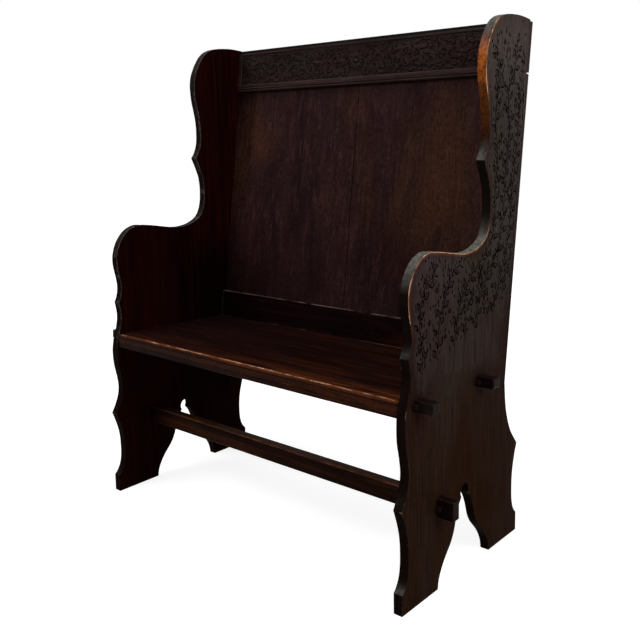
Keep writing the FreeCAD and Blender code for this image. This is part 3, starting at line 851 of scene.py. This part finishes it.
class Sheet:
    """The flat outline that carving is laid on, in the face's own u and v."""

    def __init__(self, loops):
        self.loops = [np.array(loop, dtype=float) for loop in loops]
        self.fine = outline_parts(self.loops)
        self.coarse = outline_parts([simpler(loop) for loop in self.loops])

    def rooms(self, points):
        """The distance from each point to the nearest edge, negative outside the sheet."""
        found = room_to(self.coarse, points)
        near = np.abs(found) < NEAR_RIM
        if np.any(near):
            found[near] = room_to(self.fine, points[near])
        return found

    def room(self, point):
        return float(self.rooms(np.array([point], dtype=float))[0])


def side_carving(sheet):
    """Climbing stems on a side's outer face, with oval leaves on short stalks, buds and small chips."""
    random.seed(SIDE_SEED)
    strokes = []
    taken = []

    def leaf_floor(y):
        """Where the foliage ends below, lowest at the front of the plank."""
        return LEAFLESS_BELOW + LEAFLESS_RISE * y

    def add_leaf(base, angle, length):
        middle = ahead(base, angle, length * 0.55)
        spots = np.array([middle, ahead(base, angle, length)])
        if sheet.rooms(spots).min() < CARVING_MARGIN or not is_free(middle, length * 0.30, taken):
            return False
        taken.append((middle, length * 0.34))
        half = length * random.uniform(*LEAF_WIDTHS)
        strokes.extend(drawn_leaf(base, angle, length, half, random.uniform(-0.5, 0.5)))
        return True

    def add_sprig(start, heading, side):
        """A curved stalk with an oval leaf at its end."""
        turned = heading + side * random.uniform(*STALK_TURNS)
        line = leaf_line(start, turned, random.uniform(*STALK_LENGTHS), -side * 0.5, 5)
        if add_leaf(line[-1], direction(line[-1] - line[-2]), random.uniform(*LEAF_LENGTHS)):
            strokes.append(incision(line, np.full(len(line), CUT_HALF * 0.75), 0.85))

    def add_chip(base, angle, length):
        middle = ahead(base, angle, length * 0.5)
        if base[1] < leaf_floor(base[0]):
            return
        if sheet.room(middle) > CARVING_MARGIN * 0.8 and is_free(middle, CHIP_ROOM, taken):
            taken.append((middle, CHIP_OWN_ROOM))
            width = CUT_HALF * random.uniform(*CHIP_WIDTHS)
            strokes.append(leaf(base, angle, length, width, 0.0, CUT_DEPTH * 1.1, "valley"))

    for centre in BUDS:
        radius = random.uniform(*BUD_RADII)
        strokes.extend(bud(centre, radius))
        taken.append((centre, radius * 1.5))
    for corners in STEMS:
        line = smooth_line(corners, 0.003)
        line = line[sheet.rooms(line) > CARVING_MARGIN]
        above = line[:, 1] - leaf_floor(line[:, 0])
        strokes.append(incision(line, CUT_HALF * np.interp(above, (0.0, 0.05), (0.6, 1.1))))
        side = random.choice((-1, 1))
        bare = int(np.argmax(above > 0))
        for spot in range(max(3, bare), len(line) - 2, SPRIG_STEP):
            heading = direction(line[spot + 1] - line[spot - 1])
            side = -side
            add_sprig(line[spot], heading, side)
            for hand in (-1, 1):
                foot = line[min(spot + 3, len(line) - 1)]
                foot = ahead(foot, heading + hand * math.pi / 2, CHIP_OFFSET)
                turned = heading + hand * random.uniform(*CHIP_TURNS)
                add_chip(foot, turned, random.uniform(*CHIP_LENGTHS))
        add_leaf(line[-1], direction(line[-1] - line[-2]), END_LEAF_LENGTH)
    for _ in range(SCATTER_TRIES):
        place = (random.uniform(*SCATTER_Y), random.uniform(*SCATTER_Z))
        add_chip(place, math.pi / 2 + random.uniform(-0.5, 0.5), random.uniform(*SCATTER_LENGTHS))
    return strokes


def ring_points(loops, inset, step):
    """Points a little inside the loops, which keep the shading of the rim off the flat."""
    found = []
    for loop in loops:
        for start, end in zip(loop, np.roll(loop, -1, axis=0)):
            run = end - start
            length = float(np.linalg.norm(run))
            if length < 1e-9:
                continue
            normal = np.array([-run[1], run[0]]) / length
            count = max(1, int(length / step))
            for index in range(count):
                foot = start + (index + 0.5) / count * run
                found.extend(foot + normal * inset * sign for sign in (-1.0, 1.0))
    return np.array(found)


def thinned(points, gap):
    """Leaves out points closer than about gap to an earlier one."""
    cells = np.round(points / gap).astype(int)
    order = np.unique(cells, axis=0, return_index=True)[1]
    return points[np.sort(order)]


def frieze_carving(sheet):
    """Running foliage in the frieze, the same on both hands of a central rosette."""
    random.seed(FRIEZE_SEED)
    strokes = []
    taken = [((0.0, 0.0), ROSETTE_REACH)]
    reach, half_height = sheet.loops[0].max(axis=0)

    def both(samples, height, form="round"):
        """A stroke on the right hand, and its mirror image on the left."""
        for hand in (-1, 1):
            moved = [(FRIEZE_CENTRE + hand * u, v, half) for u, v, half in samples]
            moved = [s for s in moved if abs(s[0]) + s[2] < reach - RELIEF_MARGIN]
            moved = [s for s in moved if abs(s[1]) + s[2] < half_height - RELIEF_MARGIN]
            if len(moved) > 2:
                strokes.append(Stroke(moved, height, form))

    def raised_leaf(base, angle, length, half, bend, firm=False):
        middle = ahead(base, angle, length * 0.5)
        if not firm and not is_free(middle, length * 0.22, taken):
            return
        taken.append((middle, length * 0.22))
        shape = leaf(base, angle, length, half, bend, RELIEF_HEIGHT, "leaf")
        both(shape.samples, RELIEF_HEIGHT * random.uniform(0.8, 1.0), "leaf")

    for index in range(ROSETTE_PETALS):
        angle = (index + 0.5) * math.tau / ROSETTE_PETALS
        base = ahead((FRIEZE_CENTRE, 0.0), angle, 0.007)
        strokes.append(leaf(base, angle, 0.021, 0.0042, 0.0, RELIEF_HEIGHT, "leaf"))
    boss = [(FRIEZE_CENTRE + shift, 0.0, half) for shift, half in ROSETTE_BOSS]
    strokes.append(Stroke(boss, RELIEF_HEIGHT))

    scrolls = []
    for index in range(int((reach - 0.03) / SCROLL_PITCH) + 1):
        sign = -1 if index % 2 == 0 else 1
        scrolls.append((FIRST_SCROLL + index * SCROLL_PITCH * SCROLL_SPREAD, sign))
    corners = [STEM_START] + [(u, sign * (half_height - 0.013)) for u, sign in scrolls]
    line = smooth_line(corners, 0.004)
    both([(u, v, RELIEF_STEM_HALF) for u, v in line], RELIEF_HEIGHT * 0.8)
    for scroll_u, sign in scrolls:
        centre = (scroll_u, sign * 0.004)
        curl = []
        for step in range(SCROLL_STEPS + 1):
            share = step / SCROLL_STEPS
            angle = -sign * (math.pi * 0.5) + sign * share * math.tau * SCROLL_TURN
            radius = SCROLL_OUTER * (1 - share) + SCROLL_INNER * share
            curl.append((*ahead(centre, angle, radius), RELIEF_STEM_HALF * (1 - 0.35 * share)))
        both(curl, RELIEF_HEIGHT * 0.95)
        for petal in range(5):
            angle = petal * math.tau / 5 + 0.4
            raised_leaf(ahead(centre, angle, 0.002), angle, 0.014, 0.0038, 0.0, True)
        for u, v, _ in curl[3:24:3]:
            outward = math.atan2(v - centre[1], u - centre[0])
            raised_leaf((u, v), outward + sign * 0.8, random.uniform(0.022, 0.032), 0.0062, -sign * 1.1)
    for spot in range(4, len(line) - 2, 4):
        heading = direction(line[spot + 1] - line[spot - 1])
        for side in (-1, 1):
            turned = heading + side * random.uniform(*STALK_TURNS)
            length = random.uniform(0.022, 0.036)
            raised_leaf(line[spot], turned, length, random.uniform(0.0052, 0.0070), -side * 1.0)
    for _ in range(FRIEZE_TRIES):
        u = random.uniform(0.03, reach - 0.006)
        v = random.uniform(-half_height + 0.006, half_height - 0.006)
        angle = random.uniform(0, math.tau)
        length = random.uniform(0.012, 0.020)
        raised_leaf((u, v), angle, length, random.uniform(0.0032, 0.0046), random.uniform(-0.9, 0.9))
    return strokes


def frieze_filling(sheet):
    """An even grid over the sunk field, fine enough for the relief."""
    reach = sheet.loops[0].max(axis=0)
    rows = [np.linspace(-size, size, int(2 * size / RELIEF_GRID)) for size in reach]
    grid_u, grid_v = np.meshgrid(*rows)
    grid_u[1::2] += RELIEF_GRID / 2
    return np.column_stack([grid_u.ravel(), grid_v.ravel()])


def side_filling(sheet):
    """Rings just inside the rim, which keep the rim's shading off the flat face."""
    return np.concatenate([ring_points(sheet.loops, *ring) for ring in SIDE_RINGS])


def face_loops(faces):
    """The closed chains of vertices round a set of faces."""
    border = {}
    for face in faces:
        for corner in face.loops:
            if all(other is face or other not in faces for other in corner.edge.link_faces):
                border[corner.vert] = corner.link_loop_next.vert
    chains = []
    while border:
        start = next(iter(border))
        chain = [start]
        following = border.pop(start)
        while following is not start:
            chain.append(following)
            following = border.pop(following)
        chains.append(chain)
    return chains


def flat_faces(made, outward):
    """The largest face that looks outward, with the faces that lie flat beside it."""
    candidates = [face for face in made.faces if face.normal.dot(outward) > OUTWARD_COSINE]
    largest = max(candidates, key=lambda face: face.calc_area())
    level = largest.calc_center_median().dot(largest.normal)
    return {
        face
        for face in candidates
        if face.normal.dot(largest.normal) > FLAT_COSINE
        and abs(face.calc_center_median().dot(largest.normal) - level) < FLAT_LEVEL
    }


def relief_shade(height, halo, room):
    """Painted shade on the frieze at a place: a little in the ground, most in the corners round the forms.
    """
    crest = min(height / RELIEF_HEIGHT, 1.0)
    border = fade(room, 0.0030, 0.0)
    return (GROUND_SHADE + HALO_SHADE * max(halo, border)) * (1.0 - crest)


def side_skin_wear_and_sheen(place, room, cut, halo):
    """On a side's outer face the bare arris fades into a narrow warm glow; cuts have pale, painted
    highlight lips.
    """
    strong = handled(place)
    bare = 0.9 * strong * fade(room, *RIM_BARE)
    glow = 0.42 * strong * fade(room, *RIM_GLOW)
    return bare, glow, CUT_LIP_SHEEN * halo * (1.0 - min(cut, 1.0))


def frieze_crest_rub_and_sheen(place, room, cut, halo):
    """The crests of the frieze's relief are rubbed a little lighter than its ground, with painted
    highlight.
    """
    return 0.0, 0.0, 0.45 * fade(cut, 0.06, 0.0)


def carve(made, outward, layout, filling, rise, skin_wear_and_sheen):
    """Puts a finer, carved skin in the place of the largest flat face, on the same rim."""
    faces = flat_faces(made, outward)
    normal = max(faces, key=lambda face: face.calc_area()).normal.copy()
    on_side = abs(normal.x) > 0.5
    axis_u = Vector((0, 1, 0)) if on_side else Vector((1, 0, 0))
    axis_v = (Vector((0, 0, 1)) - normal * normal.z).normalized()
    chains = face_loops(faces)
    rim = [vert for chain in chains for vert in chain]
    low = Vector(min(vert.co.dot(axis) for vert in rim) for axis in (axis_u, axis_v))
    high = Vector(max(vert.co.dot(axis) for vert in rim) for axis in (axis_u, axis_v))
    middle = Vector((0, 0)) if on_side else (low + high) / 2
    level = rim[0].co.dot(normal)

    def on_sheet(vert):
        return (vert.co.dot(axis_u) - middle.x, vert.co.dot(axis_v) - middle.y)

    def rim_key(place):
        return tuple(round(part * RIM_KEY) for part in place)

    loops = [[on_sheet(vert) for vert in chain] for chain in chains]
    loops.sort(key=lambda loop: -np.ptp(np.array(loop)[:, 0]))
    sheet = Sheet(loops)
    strokes = layout(sheet)

    points = np.concatenate([stroke.rows(CARVING_GUARD) for stroke in strokes] + [filling(sheet)])
    points = thinned(points, CARVING_GAP)
    points = points[sheet.rooms(points) > RIM_ROOM]
    given = [Vector(pair) for loop in loops for pair in loop]
    given.extend(Vector(point) for point in points)
    edges = []
    first = 0
    for loop in loops:
        edges.extend((first + index, first + (index + 1) % len(loop)) for index in range(len(loop)))
        first += len(loop)
    places, _, triangles, _, _, _ = delaunay_2d_cdt(given, edges, [], 0, SAME_PLACE, True)

    flat = np.array([tuple(place) for place in places])
    heights = np.zeros(len(flat))
    halos = np.zeros(len(flat))
    for stroke in strokes:
        height, halo = stroke.heights(flat)
        heights = np.maximum(heights, height)
        halos = np.maximum(halos, halo)
    rooms = sheet.rooms(flat)
    heights[rooms < RIM_ROOM / 2] = 0.0
    bmesh.ops.delete(made, geom=list(faces), context="FACES_ONLY")
    cut = made.verts.layers.float["cut"]
    wear, rub, dust_and_sheen = (made.loops.layers.float[name] for name in ("wear", "rub", "dust_and_sheen"))
    on_rim = {rim_key(on_sheet(vert)): vert for vert in rim}
    verts = []
    surroundings = {}
    for (u, v), height, halo, room in zip(flat, heights, halos, rooms):
        owner = on_rim.get(rim_key((u, v)))
        if owner is None:
            place = axis_u * (u + middle.x) + axis_v * (v + middle.y) + normal * (level + rise * height)
            owner = made.verts.new(place)
            # Painted shade: a side's cut darkens with its depth, the frieze in its ground and round its
            # forms
            owner[cut] = CUT_SHADE_SPREAD * height / CUT_DEPTH if rise < 0 else relief_shade(height, halo, room)
        surroundings[owner] = (max(float(room), 0.0), owner[cut], float(halo))
        verts.append(owner)
    turned = axis_u.cross(axis_v).dot(normal) < 0
    centres = flat[np.array(triangles)].mean(axis=1)
    for triangle, room in zip(triangles, sheet.rooms(centres)):
        if room < 0:
            continue
        corners = [verts[index] for index in triangle]
        if turned:
            corners.reverse()
        if len(set(corners)) < 3:
            continue
        face = made.faces.new(corners)
        for corner in face.loops:
            corner[wear], corner[rub], corner[dust_and_sheen] = skin_wear_and_sheen(corner.vert.co, *surroundings[corner.vert])
    made.normal_update()


def soft_light(name, place, target, size, power):
    data = bpy.data.lights.new(name, "AREA")
    data.shape = "RECTANGLE"
    data.size, data.size_y = size
    data.energy = power
    lamp = add_object(name, data)
    lamp.location = place
    lamp.rotation_euler = (Vector(target) - Vector(place)).to_track_quat("-Z", "Y").to_euler()


def white_world():
    """A world that is white to the camera and in reflections, and gives its own soft light."""
    shade = Shade(bpy.data.worlds.new("studio"), "Background")
    bpy.context.scene.world = shade.owner
    shade.surface({"Color": WHITE, "Strength": shade.span(shade.seen(), 0.0, 1.0, WORLD_LIGHT, 1.0)})


def studio():
    """A floor that fades into the white world, and three soft lamps."""
    white_world()
    mesh = bpy.data.meshes.new("floor")
    corners = [(x * FLOOR_REACH, y * FLOOR_REACH, 0) for x, y in ((-1, -1), (1, -1), (1, 1), (-1, 1))]
    mesh.from_pydata(corners, [], [(0, 1, 2, 3)])
    floor = add_object("floor", mesh)
    shade = Shade(bpy.data.materials.new("floor_white"))
    away = shade.node("ShaderNodeVectorMath", {0: shade.place()}, operation="LENGTH")
    glow = shade.span(away.outputs["Value"], GLOW_NEAR, GLOW_FAR, FLOOR_GLOW, 1.0)
    shade.surface({
        "Base Color": (FLOOR_TONE, FLOOR_TONE, FLOOR_TONE, 1.0),
        "Roughness": 0.9,
        "Specular IOR Level": 0.0,
        "Emission Color": WHITE,
        "Emission Strength": shade.times(shade.seen(), glow),
    })
    mesh.materials.append(shade.owner)
    for lamp in LAMPS:
        soft_light(*lamp)


def camera():
    """The photograph's camera."""
    level = math.cos(CAMERA_ELEVATION)
    azimuth = CAMERA_AZIMUTH
    back = Vector((math.sin(azimuth) * level, -math.cos(azimuth) * level, math.sin(CAMERA_ELEVATION)))
    right = (-back).cross(Vector((0, 0, 1))).normalized()
    up = right.cross(-back)
    turned_right = right * math.cos(CAMERA_ROLL) + up * math.sin(CAMERA_ROLL)
    turned_up = up * math.cos(CAMERA_ROLL) - right * math.sin(CAMERA_ROLL)
    data = bpy.data.cameras.new("camera")
    data.sensor_width = SENSOR_WIDTH
    data.lens = CAMERA_FOCAL_PX / PHOTO_SIDE * SENSOR_WIDTH
    data.shift_y = CAMERA_SHIFT_Y
    made = add_object("camera", data)
    turn = Matrix((turned_right, turned_up, back)).transposed().to_4x4()
    made.matrix_world = Matrix.Translation(CAMERA_PLACE) @ turn
    bpy.context.scene.camera = made


def materials():
    """Every finish by its name: colours as screen values, tints, and then the table of the oaks."""
    side_tones = ((46, 37, 36), (60, 48, 46), (76, 63, 59))
    # Painted shade: the inner faces' tones are a darker copy of the sides' oak
    shaded_inner_tones = ((17, 3, 2), (30, 6, 4), (42, 12, 8))
    back_tones = ((25, 12, 13), (42, 24, 25), (61, 38, 37))
    seat_tones = ((10, 3, 2), (17, 5, 4), (32, 12, 8))
    frame_tones = ((31, 17, 17), (45, 26, 26), (63, 39, 39))
    skirting_tones = ((10, 3, 3), (16, 5, 5), (30, 11, 9))
    stretcher_tones = ((14, 5, 3), (23, 8, 5), (38, 15, 8))
    key_tones = ((19, 9, 9), (34, 18, 17), (60, 36, 32))
    cream = (222, 178, 142)
    orange = (160, 84, 30)
    brown = (92, 52, 30)
    copper = (118, 62, 32)
    olive = (50, 37, 22)
    low_brown = (38, 20, 8)
    top_sheen_grey = (90, 80, 76)
    ochre = (62, 43, 20)
    plum = (66, 46, 50)
    deep_red = (24, 8, 8)
    highlight_line = (84, 70, 67)
    moss = (38, 37, 30)
    sawn = (11, 7, 6)
    shade_black = (4, 3, 3)
    amber = (104, 50, 20)
    rust = (58, 25, 12)
    darkest_brown = (13, 7, 7)
    tenon = (23, 12, 12)
    red_brown = (38, 22, 20)
    warm_oak = (70, 42, 26)
    tenon_ends = (("from middle", 0.4935, 0.4955),)
    side_tints = (
        (olive, 0.6, (1.6, 9.0), ()),
        (plum, 0.7, (1.0, 6.0), (("Y", -0.04, -0.15), ("Z", 0.28, 0.42))),
        (ochre, 0.9, (0.6, 3.5), (("Y", -0.15, -0.10), ("Y", 0.09, 0.02), ("Z", 0.66, 0.56))),
        (low_brown, 0.75, None, (("Z", 0.70, 0.46),)),
        # Painted sheen: the sides grow greyer and lighter towards the top
        (top_sheen_grey, 0.35, None, (("Z", 1.00, 1.20),)),
        (low_brown, 1.0, (0.6, 2.0), (("Z", 0.74, 0.42),)),
        (low_brown, 0.9, (1.6, 5.0), (("Z", 0.62, 0.32),)),
        (red_brown, 0.50, None, (("Z", 0.40, 0.50), ("Z", 0.80, 0.66))),
        (red_brown, 0.35, None, (("Z", 0.40, 0.50), ("Z", 0.70, 0.60), ("Y", -0.08, -0.20))),
    )
    back_tints = (
        (warm_oak, 0.30, (2.2, 6.5), (("Z", 0.62, 0.84),)),
        (warm_oak, 0.42, (1.8, 7.0), (("X", 0.02, 0.30), ("Z", 0.52, 0.72), ("Z", 1.12, 0.94))),
        (warm_oak, 0.62, (1.8, 7.0), (("X", -0.10, -0.34), ("Z", 0.84, 1.00))),
        (deep_red, 0.55, None, (("Z", 0.78, 0.50), ("X", 0.10, -0.30))),
        (deep_red, 0.70, (1.5, 4.0), (("Z", 0.86, 0.60),)),
    )
    seat_tints = (
        (rust, 0.24, (3.0, 34.0), ()),
        (rust, 0.55, (4.0, 42.0), (("Y", -0.06, -0.24),)),
        (darkest_brown, 0.75, (6.0, 60.0), ()),
        (amber, 0.50, (7.0, 75.0), (("X", -0.30, 0.35), ("Y", -0.17, -0.245))),
        # Darker from the groove of the nose downwards
        (darkest_brown, 0.55, None, (("Y", -0.2470, -0.2500), ("Z", 0.4430, 0.4405))),
        # Painted shade in the groove of the seat's nose
        (shade_black, 0.85, None, (("Y", -0.2470, -0.2500), ("Z", 0.4390, 0.4402), ("Z", 0.4442, 0.4428))),
        (darkest_brown, 0.40, None, (("X", 0.0, -0.38), ("Y", -0.246, -0.236))),
        (tenon, 1.0, None, tenon_ends),
    )
    stretcher_tints = (
        (brown, 0.24, (2.0, 20.0), ()),
        (tenon, 0.9, None, tenon_ends),
    )
    skirting_tints = (
        (rust, 0.5, (2.0, 9.0), (("X", 0.0, 0.25),)),
        # Painted highlights along the skirting's top edge, its joint with the seat and its left end
        (highlight_line, 0.80, (11.0, 3.0), (("Z", 0.5120, 0.5132),)),
        (highlight_line, 0.50, (7.0, 3.0), (("Z", 0.4402, 0.4390),)),
        (highlight_line, 0.35, None, (("X", -0.4695, -0.4710),)),
    )
    frame_tints = (
        (moss, 0.8, (3.0, 9.0), (("X", -0.05, 0.20),)),
        (moss, 0.5, (3.0, 9.0), ()),
        # Painted shade along the top edge of the frieze rail
        (shade_black, 1.0, None, (("Z", 1.2425, 1.2440),)),
    )
    oaks = {
        "side_oak": ("Z", side_tones, cream, orange, 0.46, 1.03, 0.0, side_tints, shaded_inner_tones, sawn),
        "back_oak": ("Z", back_tones, brown, brown, 0.46, 1.07, 3.1, back_tints),
        "seat_oak": ("X", seat_tones, cream, copper, 0.36, 1.08, 5.7, seat_tints),
        "frame_oak": ("X", frame_tones, brown, brown, 0.42, 1.09, 8.3, frame_tints),
        "skirting_oak": ("X", skirting_tones, brown, brown, 0.42, 1.05, 4.4, skirting_tints),
        "stretcher_oak": ("X", stretcher_tones, orange, brown, 0.42, 1.06, 2.3, stretcher_tints),
        "key_oak": ("Y", key_tones, brown, brown, 0.44, 1.12, 1.9),
    }
    finishes = {name: oak(name, *settings) for name, settings in oaks.items()}
    finishes["steel"] = steel("steel")
    return finishes


LONG = Vector((1, 0, 0))
DEEP = Vector((0, 1, 0))
DIVISIONS = {
    "seat_board": ((WEAR_STATIONS, LONG), (NOSE_STATIONS, DEEP)),
    "stretcher": ((WEAR_STATIONS, LONG),),
}
FRIEZE_NORMAL = Vector((0, -1, FRIEZE_TILT)).normalized()
CARVINGS = {
    "side_left": (-LONG, side_carving, side_filling, -1.0, side_skin_wear_and_sheen),
    "side_right": (LONG, side_carving, side_filling, -1.0, side_skin_wear_and_sheen),
    "top_rail": (FRIEZE_NORMAL, frieze_carving, frieze_filling, 1.0, frieze_crest_rub_and_sheen),
}


def main():
    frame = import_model()
    nodes = frame["nodes"]
    slots = {name: node.data.materials[0].name for name, node in nodes.items()}
    finishes = materials()
    for name, node in nodes.items():
        slot = slots[name]
        if name not in ARRIS_WIDTHS:
            node.data.materials[0] = finishes[slot]
            continue
        made = frame_copy(node)
        made.verts.layers.float.new("cut")
        is_side = name.startswith("side_")
        for places, axis in DIVISIONS.get(name, ()):
            divide(made, places, axis)
        rounded = soften(made, ARRIS_WIDTHS[name], is_side)
        rule = WEAR_RULES.get(name, plain_wear(PLAIN_WEAR))
        rub_down(made, rounded, rule, is_side, ARRIS_DUST_AND_SHEEN.get(name, 0.0))
        if name.startswith("back_board"):
            darken_joint(made)
        if name in CARVINGS:
            carve(made, *CARVINGS[name])
        finish = OWN_FINISHES.get(name, slot)
        piece = finish_mesh(made, name + "_wood", finishes[finish])
        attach(piece, "root")
        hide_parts(name)
    studio()
    camera()
    bpy.context.scene.view_settings.view_transform = "Standard"


main()
